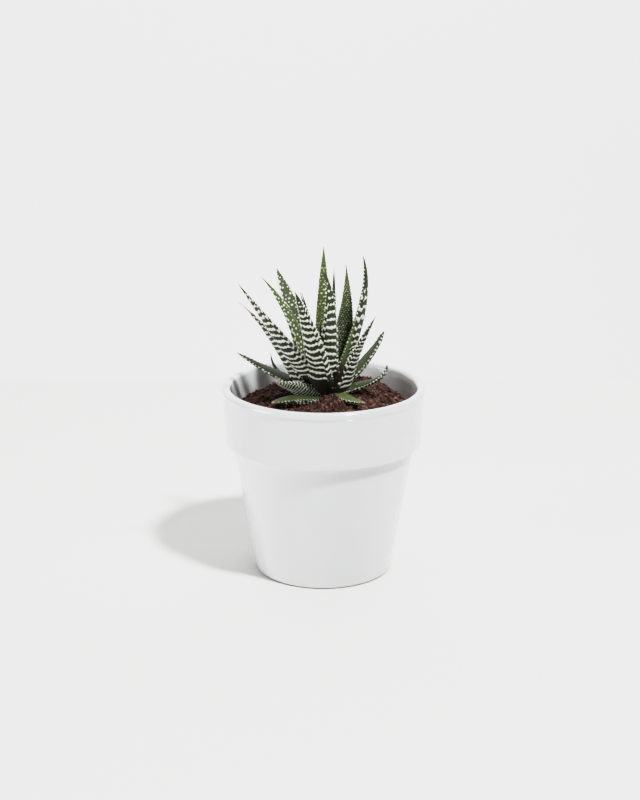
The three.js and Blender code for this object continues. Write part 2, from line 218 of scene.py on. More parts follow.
class Wire:
    """A node's output in an expression: each operator adds the Math node that works it out."""

    def __init__(self, paint: "Paint", socket: bpy.types.NodeSocket) -> None:
        """Keeps the socket and the material it belongs to."""
        self.paint = paint
        self.socket = socket

    def _math(self, operation: str, first: "Wire | float", second: "Wire | float") -> "Wire":
        """The result of one Math node."""
        return self.paint.node("ShaderNodeMath", {"operation": operation}, {0: first, 1: second})

    def __add__(self, other: "Wire | float") -> "Wire":
        """This plus another."""
        return self._math("ADD", self, other)

    __radd__ = __add__

    def __sub__(self, other: "Wire | float") -> "Wire":
        """This less another."""
        return self._math("SUBTRACT", self, other)

    def __rsub__(self, other: float) -> "Wire":
        """Another less this."""
        return self._math("SUBTRACT", other, self)

    def __mul__(self, other: "Wire | float") -> "Wire":
        """This times another."""
        return self._math("MULTIPLY", self, other)

    __rmul__ = __mul__

    def ramp(self, low: float, high: float, first: float = 0.0, last: float = 1.0) -> "Wire":
        """This taken from low–high to first–last, with level ends."""
        settings = {"interpolation_type": "SMOOTHSTEP"}
        return self.paint.node("ShaderNodeMapRange", settings,
                               {"Value": self, 1: low, 2: high, 3: first, 4: last})


class Paint:
    """A material in the making, whose nodes are added by expressions."""

    def __init__(self, name: str) -> None:
        """Starts a material with one plain shader.

        Args:
            name: The material's name.
        """
        self.material = bpy.data.materials.new(name)
        self.material.use_nodes = True
        self.tree = self.material.node_tree
        self.shader = self.tree.nodes["Principled BSDF"]
        self.place = self.node("ShaderNodeTexCoord", {}, {}, "Object")

    def node(self, kind: str, settings: dict, values: dict, output: int | str = 0) -> Wire:
        """Adds a node.

        Args:
            kind: The node's type.
            settings: Its properties, and "stops" for a ramp's places and colours.
            values: The values or wires of its sockets, by name or number.
            output: Which of its outputs is wanted.

        Returns:
            That output.
        """
        node = self.tree.nodes.new(kind)
        for key, value in settings.items():
            if key == "stops":
                self._set_stops(node.color_ramp, value)
            else:
                setattr(node, key, value)
        for key, value in values.items():
            self._feed(node.inputs[key], value)
        return Wire(self, node.outputs[output])

    @staticmethod
    def _set_stops(ramp: bpy.types.ColorRamp, stops: list[tuple[float, Colour]]) -> None:
        """Gives a colour ramp its stops."""
        while len(ramp.elements) < len(stops):
            ramp.elements.new(1.0)
        for element, (position, colour) in zip(ramp.elements, stops):
            element.position = position
            element.color = (*colour, 1.0)

    def _feed(self, socket: bpy.types.NodeSocket, value: "Wire | float | Colour") -> None:
        """Links a wire to a socket, or sets the socket's own value."""
        if isinstance(value, Wire):
            self.tree.links.new(value.socket, socket)
        elif socket.type == "RGBA" and len(value) == 3:
            socket.default_value = (*value, 1.0)
        else:
            socket.default_value = value

    def noise(self, scale: float, detail: float = 2.0, roughness: float = 0.5) -> Wire:
        """Cloudy noise round 0.5, with a scale in cells a metre."""
        values = {"Vector": self.place, "Scale": scale, "Detail": detail, "Roughness": roughness}
        return self.node("ShaderNodeTexNoise", {}, values)

    def attribute(self, name: str) -> Wire:
        """A value that the mesh carries at each point."""
        return self.node("ShaderNodeAttribute", {"attribute_name": name}, {}, "Fac")

    def mix(self, share: "Wire | float", first: "Wire | Colour", last: "Wire | Colour") -> Wire:
        """The first colour where the share is 0, and the last where it is 1."""
        settings = {"data_type": "RGBA", "blend_type": "MIX"}
        return self.node("ShaderNodeMix", settings, {0: share, 6: first, 7: last}, 2)

    def ramp(self, share: Wire, stops: list[tuple[float, Colour]]) -> Wire:
        """A colour ramp."""
        return self.node("ShaderNodeValToRGB", {"stops": stops}, {0: share})

    def bump(self, height: Wire, distance: float, strength: float = 1.0) -> Wire:
        """A normal from a height, where a height of 1 stands for a distance in metres."""
        values = {"Height": height, "Distance": distance, "Strength": strength}
        return self.node("ShaderNodeBump", {}, values)

    def finish(self, **values: "Wire | float | Colour") -> bpy.types.Material:
        """Sets the shader's sockets, named with underscores for spaces.

        Args:
            **values: A value or a wire for each socket.

        Returns:
            The finished material.
        """
        for key, value in values.items():
            self._feed(self.shader.inputs[key.replace("_", " ")], value)
        return self.material


@dataclass(frozen=True)
class GlazeFinish:
    """The pot's white glaze: even and glossy, with faint clouds and a bare edge under the foot."""

    name: str = "white_glaze"
    white: Colour = (0.672, 0.682, 0.686)
    thin: Colour = (0.642, 0.652, 0.66)
    clay: Colour = (0.36, 0.31, 0.26)
    bare_up_to: float = 0.0002
    glazed_from: float = 0.0009

    def material(self) -> bpy.types.Material:
        """Paints the glaze."""
        paint = Paint(self.name)
        clouds = paint.noise(38.0, 3.0).ramp(0.35, 0.7)
        glaze = paint.mix(clouds * 0.35, self.white, self.thin)
        height = paint.node("ShaderNodeSeparateXYZ", {}, {0: paint.place}, "Z")
        bare = height.ramp(self.bare_up_to, self.glazed_from, 1.0, 0.0)
        glaze = paint.mix(bare * 0.8, glaze, self.clay)
        rough = clouds * 0.02 + bare * 0.4 + 0.12
        return paint.finish(Base_Color=glaze, Roughness=rough, Coat_Weight=1.0,
                            Coat_Roughness=0.04, Specular_IOR_Level=0.5)


@dataclass(frozen=True)
class LeafFinish:
    """A leaf's skin. The mesh says where it is white, pale or dried, and where painted shade darkens its
    foot.
    """

    name: str
    deep: Colour = (0.014, 0.020, 0.008)
    green: Colour = (0.045, 0.066, 0.021)
    pale: Colour = (0.14, 0.185, 0.062)
    tubercle: Colour = (0.76, 0.765, 0.70)
    tubercle_shade: Colour = (0.54, 0.56, 0.45)
    dried: Colour = (0.345, 0.20, 0.098)
    dried_tip: Colour = (0.50, 0.375, 0.285)
    # Painted shade: the near-black colour of the leaf's foot, where the crowded leaf bases lie in shade.
    foot: Colour = (0.012, 0.014, 0.008)
    roughness: float = 0.52
    grain_cells: float = 2600.0
    cloud_cells: float = 260.0
    relief_cells: float = 1500.0

    def material(self) -> bpy.types.Material:
        """Paints the skin."""
        paint = Paint(self.name)
        white = paint.attribute("tubercle")
        paleness = paint.attribute("paleness")
        dryness = paint.attribute("dryness")
        age = paint.attribute("age")
        grain = paint.noise(self.grain_cells, 2.0)
        clouds = paint.noise(self.cloud_cells, 3.0)
        tone = paleness + (clouds - 0.5) * 0.5 + (grain - 0.5) * 0.25
        skin = paint.ramp(tone, [(0.0, self.deep), (0.5, self.green), (1.0, self.pale)])
        # Painted shade darkens the skin towards the foot, and browns the white there.
        skin = paint.mix(age, skin, self.foot)
        edge = (white + (grain - 0.5) * 0.3).ramp(0.32, 0.62)
        chalk = paint.mix((white + (clouds - 0.5)).ramp(0.45, 1.0), self.tubercle_shade, self.tubercle)
        chalk = paint.mix(age * 0.35, chalk, self.dried)
        skin = paint.mix(edge, skin, chalk)
        withered = paint.mix(clouds.ramp(0.35, 0.65), self.dried, self.dried_tip)
        skin = paint.mix(dryness, skin, withered)
        rough = edge * 0.2 + dryness * 0.3 + (grain - 0.5) * 0.12 + self.roughness
        relief = paint.noise(self.relief_cells, 3.0) + edge * 0.6
        return paint.finish(Base_Color=skin, Roughness=rough, Specular_IOR_Level=0.2,
                            Normal=paint.bump(relief, 0.00025, 0.5))


@dataclass(frozen=True)
class SoilFinish:
    """Loose soil: coir and peat in red-browns, with painted shade darkening it between the crumbs."""

    name: str
    dark: Colour = (0.014, 0.008, 0.006)
    brown: Colour = (0.070, 0.031, 0.022)
    red: Colour = (0.155, 0.062, 0.041)
    pale: Colour = (0.400, 0.250, 0.190)

    def material(self) -> bpy.types.Material:
        """Paints the soil."""
        paint = Paint(self.name)
        crumb = paint.attribute("crumb")
        hollow_shade = paint.attribute("hollow_shade")
        clouds = paint.noise(180.0, 4.0, 0.6)
        grains = paint.noise(1900.0, 3.0, 0.7)
        tone = crumb * 0.8 + clouds * 0.2 + (grains - 0.5) * 0.8 - 0.06
        stops = [(0.12, self.dark), (0.42, self.brown), (0.72, self.red), (1.0, self.pale)]
        # Painted shade: the soil is darkened where it lies low between the crumbs.
        colour = paint.mix(hollow_shade, paint.ramp(tone, stops), self.dark)
        relief = paint.noise(1300.0, 4.0, 0.7)
        return paint.finish(Base_Color=colour, Roughness=grains * 0.15 + 0.82,
                            Specular_IOR_Level=0.2, Normal=paint.bump(relief, 0.0006, 0.9))


@dataclass(frozen=True)
class PaleGritFinish:
    """Pale bits in the soil: perlite, bark flesh and dried root."""

    name: str
    light: Colour = (0.62, 0.50, 0.42)
    dark: Colour = (0.30, 0.15, 0.10)

    def material(self) -> bpy.types.Material:
        """Paints the bits."""
        paint = Paint(self.name)
        crumb = paint.attribute("crumb")
        pores = paint.noise(2400.0, 3.0, 0.6)
        tone = crumb * 0.7 + (pores - 0.5) * 0.8 + 0.1
        return paint.finish(Base_Color=paint.mix(tone.ramp(0.0, 1.0), self.dark, self.light),
                            Roughness=pores * 0.2 + 0.7, Specular_IOR_Level=0.25,
                            Normal=paint.bump(pores, 0.0004, 0.8))


@dataclass(frozen=True)
class StemFinish:
    """The stem's corky skin, ringed by old leaf scars."""

    name: str = "stem_skin"
    dark: Colour = (0.045, 0.035, 0.018)
    light: Colour = (0.16, 0.125, 0.06)

    def material(self) -> bpy.types.Material:
        """Paints the skin."""
        paint = Paint(self.name)
        scars = paint.node("ShaderNodeTexWave", {"bands_direction": "Z"},
                           {"Vector": paint.place, "Scale": 160.0, "Distortion": 3.0}, 1)
        cork = paint.noise(1200.0, 4.0, 0.6)
        tone = scars * 0.5 + cork * 0.5
        return paint.finish(Base_Color=paint.mix(tone, self.dark, self.light),
                            Roughness=cork * 0.2 + 0.7, Normal=paint.bump(tone, 0.0004, 0.8))


@dataclass(frozen=True)
class StageFinish:
    """A plain pale painted surface."""

    name: str
    colour: Colour
    cloud_shade: float = 0.985

    def material(self) -> bpy.types.Material:
        """Paints the surface."""
        paint = Paint(self.name)
        clouds = paint.noise(3.0, 2.0)
        shade = tuple(self.cloud_shade * channel for channel in self.colour)
        return paint.finish(Base_Color=paint.mix(clouds, self.colour, shade), Roughness=0.7,
                            Specular_IOR_Level=0.2)


class Slot(Enum):
    """The record's material slots."""

    GLAZE = "pot_glaze"
    SOIL = "soil"
    STEM = "stem"
    DARK = "leaf_dark"
    MID = "leaf_mid"
    PALE = "leaf_pale"
    DRIED = "leaf_dried"


def place_piece(piece: bpy.types.Object, slot: Slot, *nodes: str) -> bpy.types.Object:
    """Makes a piece part of the plant in its pot.

    Args:
        piece: The piece, already in place.
        slot: Not used.
        *nodes: The nodes it stands for.

    Returns:
        The piece.
    """
    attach(piece, BODY)
    if nodes:
        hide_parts(*nodes)
    LOG.info("%s: %d faces", piece.name, len(piece.data.polygons))
    return piece


@dataclass(frozen=True)
class Pot:
    """The glazed pot: a tapering body on a foot ring, a deep band round the top, a rounded lip."""

    height: float = 99.0
    rim_radius: float = 52.5
    lip: float = 4.3
    lip_height: float = 4.2
    band_height: float = 30.0
    band_top_radius: float = 51.9
    band_foot_radius: float = 51.0
    body_top_radius: float = 47.5
    foot_radius: float = 36.2
    wall: float = 3.8
    floor_top: float = 5.5
    ring_inside: float = 28.0
    ring_depth: float = 1.5
    drain_radius: float = 5.0
    around: int = 208
    glaze_wave: float = 0.09

    def inner_radius(self, height: Array) -> Array:
        """The inner wall's radius at a height: a cone under the lip, then the body's own slope."""
        shoulder = self.height - self.band_height
        radii = [self.foot_radius - self.wall, self.body_top_radius - self.wall,
                 self.rim_radius - self.lip]
        return np.interp(height, [0.0, shoulder, self.height], radii)

    def corners(self) -> list[tuple[float, float, float]]:
        """The profile's corners as radius, height and how far its rounding reaches each way."""
        shoulder = self.height - self.band_height
        inner = self.inner_radius
        bottom = self.floor_top
        return [
            (self.ring_inside, self.ring_depth, 0.3),
            (self.ring_inside + 0.6, 0.0, 0.5),
            (self.foot_radius - 0.2, 0.0, 1.7),
            (self.body_top_radius + 0.1, shoulder, 0.9),
            (self.band_foot_radius - 0.02, shoulder, 1.0),
            (self.band_top_radius, self.height - self.lip_height, 0.6),
            (self.rim_radius - 0.02, self.height - self.lip_height + 1.0, 0.6),
            (self.rim_radius, self.height, self.lip * 0.5),
            (self.rim_radius - self.lip, self.height, self.lip * 0.5),
            (float(inner(shoulder)), shoulder, 2.5),
            (float(inner(bottom)), bottom, 3.0),
            (self.drain_radius, bottom, 0.8),
            (self.drain_radius, self.ring_depth, 0.4),
        ]

    def profile(self) -> Array:
        """The closed profile: a curve at each corner, and stretches of at most three millimetres.

        At a corner C, between points A and B on its two sides, the curve is a quarter of an
        ellipse for the share r of a right angle: C + (A − C)·(1 − sin r) + (B − C)·(1 − cos r).

        Returns:
            Radius and height of each point.
        """
        corners = np.array(self.corners())
        places, reach = corners[:, :2], corners[:, 2:]
        before = places + unit(np.roll(places, 1, 0) - places) * reach
        after = places + unit(np.roll(places, -1, 0) - places) * reach
        turn = np.linspace(0.0, math.pi / 2, 8)[:, None]
        points = []
        for k, corner in enumerate(places):
            toward = (before[k] - corner) * (1 - np.sin(turn))
            points.append(corner + toward + (after[k] - corner) * (1 - np.cos(turn)))
            far = before[(k + 1) % len(places)]
            steps = int(np.linalg.norm(far - after[k]) // 3.0)
            share = np.arange(1, steps)[:, None] / max(steps, 1)
            points.append(after[k] + (far - after[k]) * share)
        return np.vstack(points)

    def build(self) -> bpy.types.Object:
        """Turns the profile about the pot's axis.

        The glaze's slow waves only ever lower the surface: the radius is scaled by
        1 − wave·(1 + ripple)/2 over the radius.

        Returns:
            The pot.
        """
        profile = self.profile()
        radius, height = profile[:, :1], profile[:, 1:]
        angle = np.linspace(0, 2 * math.pi, self.around, endpoint=False)[None, :]
        x, y = np.cos(angle), np.sin(angle)
        waves = ripple(x * 2.1 + height / 31 + 9, y * 2.1 + height / 47 + 5, 3)
        outside = smooth(radius, self.drain_radius + 4, self.ring_inside)
        worn = radius - self.glaze_wave * outside * (1 + waves) / 2
        rows = np.stack([worn * x, worn * y, np.broadcast_to(height, waves.shape)], -1)
        faces = [grid_faces(len(profile), self.around, wrapped=True)]
        pot = make_object("pot_glazed", rows.reshape(-1, 3), faces, GlazeFinish().material())
        return place_piece(pot, Slot.GLAZE, "pot")


@dataclass(frozen=True)
class Stem:
    """The short stem, in a plain hole in the soil."""

    x: float = 2.0
    y: float = -1.0
    heights: tuple[float, ...] = (80.0, 80.4, 82.0, 92.0, 98.0, 107.0, 110.0, 111.0)
    radii: tuple[float, ...] = (2.0, 3.0, 4.4, 4.4, 3.8, 2.8, 1.6, 0.3)
    scar_spacing: float = 1.9
    around: int = 36

    def build(self) -> bpy.types.Object:
        """Turns the stem about its axis, with a shallow groove at each leaf scar."""
        height = np.linspace(self.heights[0], self.heights[-1], 96)[:, None]
        radius = np.interp(height, self.heights, self.radii)
        angle = np.linspace(0, 2 * math.pi, self.around, endpoint=False)[None, :]
        scars = np.cos(2 * math.pi * height / self.scar_spacing + 1.2 * np.sin(3 * angle))
        radius = radius * (0.965 + 0.03 * scars)
        x = self.x + radius * np.cos(angle)
        y = self.y + radius * np.sin(angle)
        rows = np.stack([x, y, np.broadcast_to(height, x.shape)], -1)
        points, faces = closed_skin(rows)
        stem = make_object("stem_scarred", points, faces, StemFinish().material())
        return place_piece(stem, Slot.STEM, "stem")


@dataclass(frozen=True)
class Soil:
    """The loose soil: a low mound of crumbs, with chips, perlite and fibres on it."""

    pot: Pot
    stem: Stem
    centre_height: float = 92.0
    edge_height: float = 85.9
    edge_tilt: float = 0.6
    high_side: float = 110.0
    clod_height: float = 0.45
    heaps: tuple[tuple[float, float, float, float], ...] = (
        (21.0, 24.0, 6.4, 10.0), (-20.0, 28.0, 2.4, 9.0), (3.5, -9.5, 3.8, 5.5), (14.5, 3.0, 6.2, 6.0))
    crumb_height: float = 0.75
    wall_gap: float = 0.5
    mound_power: float = 1.7
    side_heights: tuple[float, ...] = (40.0, 69.0, 80.0)
    bottom_gap: float = 0.4
    bottom_inset: float = 3.4
    bottom_rounding: float = 4.0
    hole_radius: float = 4.8
    hole_floor: float = 79.6
    clear_of_stem: float = 4.0
    around: int = 300
    rings: int = 104
    crumbs: int = 3600
    chips: int = 420
    grit: int = 46
    fibres: int = 44

    def mound(self, x: Array, y: Array) -> Array:
        """The height of the mound, which is higher at the back, with rounded heaps and low clods.

        A heap is given as its place, its height h and its spread s, and adds h·exp(−d²/2s²) at the
        distance d.
        """
        out = np.minimum(np.hypot(x, y) / self.pot.inner_radius(self.edge_height), 1.0)
        angle = np.arctan2(y, x) - math.radians(self.high_side)
        edge = self.edge_height + self.edge_tilt * np.cos(angle)
        clods = np.sin(0.93 * x + 1.7 * np.sin(0.41 * y)) * np.cos(0.87 * y + 0.6 * x)
        middle = self.centre_height
        height = middle + (edge - middle) * out**self.mound_power + self.clod_height * clods
        for heap_x, heap_y, rise, spread in self.heaps:
            height += rise * np.exp(-((x - heap_x) ** 2 + (y - heap_y) ** 2) / (2 * spread**2))
        return height

    def lumps(self, x: Array, y: Array) -> Array:
        """How high the crumbs stand, from 0 to about 1: three sizes of noise, folded at 0.

        Folding a noise n to 1 − |n| gives rounded tops with sharp creases between them.
        """
        coarse = 1 - np.abs(ripple(x / 2.6 + 40, y / 2.6 + 40, 11))
        middle = 1 - np.abs(ripple(x / 1.3 + 70, y / 1.3 + 10, 12))
        fine = ripple(x / 0.7, y / 0.7, 13)
        return 0.5 * coarse + 0.35 * middle + 0.15 * fine

    def height(self, x: Array, y: Array) -> Array:
        """The height of the crumbly surface."""
        return self.mound(x, y) + self.crumb_height * (self.lumps(x, y) - 0.6)

    def outside(self, height: float) -> float:
        """The soil's radius at a height, just inside the pot's wall."""
        return float(self.pot.inner_radius(height)) - self.wall_gap

    def bed(self, finish: bpy.types.Material) -> bpy.types.Object:
        """The body of the soil: rings from the bottom up the wall and in over the mound.

        A ring of the mound at share r lies between the stem's hole, at 0, and the wall, at 1.
        """
        angle = np.linspace(0, 2 * math.pi, self.around, endpoint=False)[None, :]
        low = self.pot.floor_top + self.bottom_gap
        sides = [(self.outside(low) - self.bottom_inset, low)]
        for height in (low + self.bottom_rounding, *self.side_heights):
            sides.append((self.outside(height), height))
        rows = []
        for radius, height in sides:
            rows.append(np.stack([radius * np.cos(angle[0]), radius * np.sin(angle[0]),
                                  np.full(self.around, height)], -1))
        share = np.linspace(1.0, 0.0, self.rings)[:, None]
        wall = self.outside(self.edge_height - self.edge_tilt - 1)
        radius = self.hole_radius + (wall - self.hole_radius) * share
        x = self.stem.x * (1 - share) + radius * np.cos(angle)
        y = self.stem.y * (1 - share) + radius * np.sin(angle)
        top = np.stack([x, y, self.height(x, y)], -1)
        hole = top[-1].copy()
        hole[:, 2] = self.hole_floor
        rows = np.concatenate([np.array(rows), top, hole[None]])
        points, faces = closed_skin(rows)
        lumps = self.lumps(points[:, 0], points[:, 1])
        # Painted shade between the crumbs, strongest where the lumps are lowest.
        hollow_shade = 1 - smooth(lumps, 0.28, 0.62)
        surface = {"crumb": ripple(points[:, 0] / 1.1, points[:, 1] / 1.1, 17) * 0.5 + 0.5,
                   "hollow_shade": hollow_shade * 0.7}
        return make_object("soil_bed", points, faces, finish, surface)

    def scattered(self, count: int, generator: np.random.Generator, reach: float) -> Array:
        """Places spread evenly over the soil, between the stem and a radius."""
        radius = np.sqrt(generator.uniform(self.clear_of_stem**2, reach**2, count))
        angle = generator.uniform(0, 2 * math.pi, count)
        return np.stack([radius * np.cos(angle), radius * np.sin(angle)], -1)

    def bits(self, name: str, count: int, size: tuple[float, float], flatness: float, sunk: float,
             seed: int, finish: bpy.types.Material) -> bpy.types.Object:
        """Many small lumps in one mesh: each an uneven twenty-faced ball, turned and stretched.

        Args:
            name: The object's name.
            count: How many.
            size: Their least and greatest radius.
            flatness: How much thinner than wide a bit may be.
            sunk: How far a bit lies in the soil, as a share of its size.
            seed: Which draw.
            finish: Their material.

        Returns:
            The object.
        """
        generator = np.random.default_rng(seed)
        golden = (1 + math.sqrt(5)) / 2
        ball = unit(np.array([(-1, golden, 0), (1, golden, 0), (-1, -golden, 0), (1, -golden, 0),
                              (0, -1, golden), (0, 1, golden), (0, -1, -golden), (0, 1, -golden),
                              (golden, 0, -1), (golden, 0, 1), (-golden, 0, -1), (-golden, 0, 1)]))
        sides = np.array([(0, 11, 5), (0, 5, 1), (0, 1, 7), (0, 7, 10), (0, 10, 11), (1, 5, 9),
                          (5, 11, 4), (11, 10, 2), (10, 7, 6), (7, 1, 8), (3, 9, 4), (3, 4, 2),
                          (3, 2, 6), (3, 6, 8), (3, 8, 9), (4, 9, 5), (2, 4, 11), (6, 2, 10),
                          (8, 6, 7), (9, 8, 1)])
        radius = generator.uniform(0, 1, count) ** 2 * (size[1] - size[0]) + size[0]
        stretch = generator.uniform(1 - flatness, 1, (count, 1, 3))
        dents = generator.uniform(0.72, 1.12, (count, 12, 1))
        local = ball[None] * dents * stretch * radius[:, None, None]
        turns, _ = np.linalg.qr(generator.normal(size=(count, 3, 3)))
        turns *= np.sign(np.linalg.det(turns))[:, None, None]
        local = np.einsum("nij,nkj->nki", turns, local)
        place = self.scattered(count, generator, self.outside(self.edge_height) - size[1] - 0.4)
        height = self.height(place[:, 0], place[:, 1]) + radius * (0.5 - sunk)
        points = local + np.concatenate([place, height[:, None]], 1)[:, None]
        corners = (sides[None] + 12 * np.arange(count)[:, None, None]).reshape(-1, 3)
        tone = np.repeat(generator.uniform(0, 1, count), 12)
        # Loose bits carry no painted shade.
        surface = {"crumb": tone, "hollow_shade": np.zeros(count * 12)}
        return make_object(name, points.reshape(-1, 3), [corners], finish, surface, smoothed=False)

    def threads(self, finish: bpy.types.Material) -> bpy.types.Object:
        """Thin bent fibres on the soil: a four-sided tube along an arc that follows the ground.

        A fibre's middle runs p + length·(cos, sin)(facing + curl·r)·r for the share r, and stands
        a little above the ground, highest at its middle.
        """
        generator = np.random.default_rng(31)
        count, steps = self.fibres, 9
        start = self.scattered(count, generator, self.outside(self.edge_height) - 7.0)
        facing = generator.uniform(0, 2 * math.pi, (count, 1))
        curl = generator.normal(0, 0.9, (count, 1))
        length = generator.uniform(2.5, 6.5, (count, 1))
        thick = generator.uniform(0.09, 0.17, (count, 1, 1, 1))
        share = np.linspace(0, 1, steps)[None, :]
        bearing = facing + curl * share
        x = start[:, :1] + length * np.cos(bearing) * share
        y = start[:, 1:] + length * np.sin(bearing) * share
        lift = generator.uniform(0.2, 1.1, (count, 1)) * np.sin(math.pi * share) + 0.12
        path = np.stack([x, y, self.height(x, y) + lift], -1)
        ahead = unit(np.gradient(path, axis=1))
        side = unit(np.cross(ahead, np.array([0.0, 0.0, 1.0])))
        over = np.cross(side, ahead)
        angle = np.arange(4) * math.pi / 2
        ring = (side[:, :, None] * np.cos(angle)[:, None] + over[:, :, None] * np.sin(angle)[:, None])
        taper = (1 - 0.7 * share**2)[:, :, None, None]
        points = path[:, :, None] + ring * thick * taper
        span = steps * 4
        walls = grid_faces(steps, 4)[None] + span * np.arange(count)[:, None, None]
        ends = np.array([(3, 2, 1, 0), (span - 4, span - 3, span - 2, span - 1)])
        ends = ends[None] + span * np.arange(count)[:, None, None]
        faces = [np.concatenate([walls.reshape(-1, 4), ends.reshape(-1, 4)])]
        tone = np.repeat(generator.uniform(0.1, 0.9, count), span)
        # Fibres carry no painted shade.
        surface = {"crumb": tone, "hollow_shade": np.zeros(len(tone))}
        return make_object("soil_fibres", points.reshape(-1, 3), faces, finish, surface)

    def build(self) -> list[bpy.types.Object]:
        """The bed, and what lies loose on it."""
        earth = SoilFinish("soil_earth").material()
        pale = PaleGritFinish("soil_pale_grit").material()
        bed = place_piece(self.bed(earth), Slot.SOIL, "soil")
        loose = [
            self.bits("soil_crumbs", self.crumbs, (0.32, 1.35), 0.45, 0.15, 21, earth),
            self.bits("soil_chips", self.chips, (0.9, 2.2), 0.72, 0.3, 22, earth),
            self.bits("soil_grit", self.grit, (0.35, 1.0), 0.5, 0.1, 23, pale),
            self.threads(pale),
        ]
        return [bed] + [place_piece(piece, Slot.SOIL) for piece in loose]


@dataclass(frozen=True)
class Bands:
    """How the white tubercles lie on a leaf's outer face, in millimetres unless said otherwise.

    Attributes:
        spacings: How far apart the rows are, at even shares of the leaf from root to tip.
        white: The white share of a row.
        bow: How far a row's ends lie nearer the tip than its middle.
        slant: How far a row's right end lies nearer the root than its middle.
        wander: How far the rows wander.
        fork_left: Where across the face the rows fork, from −1 to 1.
        fork_right: The same on the right.
        fork: By what share of a row they step there.
        first: The share of the leaf's length where the first row lies.
        breaks: The share where the rows part into dots.
        ends: The share where few dots are left.
        relief: How high they stand.
        bead: How wide the beads of a row are.
        shrink: By what share the dots are smaller at the tip.
    """

    spacings: tuple[float, ...] = (3.5,)
    white: float = 0.42
    bow: float = 1.0
    slant: float = 0.0
    wander: float = 1.0
    fork_left: float = -0.55
    fork_right: float = 0.6
    fork: float = 0.45
    first: float = 0.1
    breaks: float = 0.6
    ends: float = 1.0
    relief: float = 0.34
    bead: float = 1.55
    shrink: float = 0.4

    def spacing(self, t: Array) -> Array:
        """How far apart the rows are at a share of the leaf's length."""
        return np.interp(t, np.linspace(0, 1, len(self.spacings)), self.spacings)

    def rows(self, s: Array, length: float) -> Array:
        """How many rows lie between the root and a place: the sum of 1 over their spacing."""
        fine = np.linspace(0, length, 600)
        count = np.cumsum(1 / self.spacing(fine / length)) * fine[1]
        return np.interp(s, fine, count) + np.minimum(s, 0) / self.spacings[0]


@dataclass(frozen=True)
class Dots:
    """How small white dots lie on a leaf's inner face: pitch and radius, and their share."""

    pitch: float = 2.1
    radius: float = 0.33
    share: float = 0.0
    along: float = 1.0


@dataclass(frozen=True)
class Teeth:
    """How the white teeth stand along a leaf's edges: pitch and radius, and how far they stand out."""

    pitch: float = 1.9
    radius: float = 0.5
    relief: float = 0.35


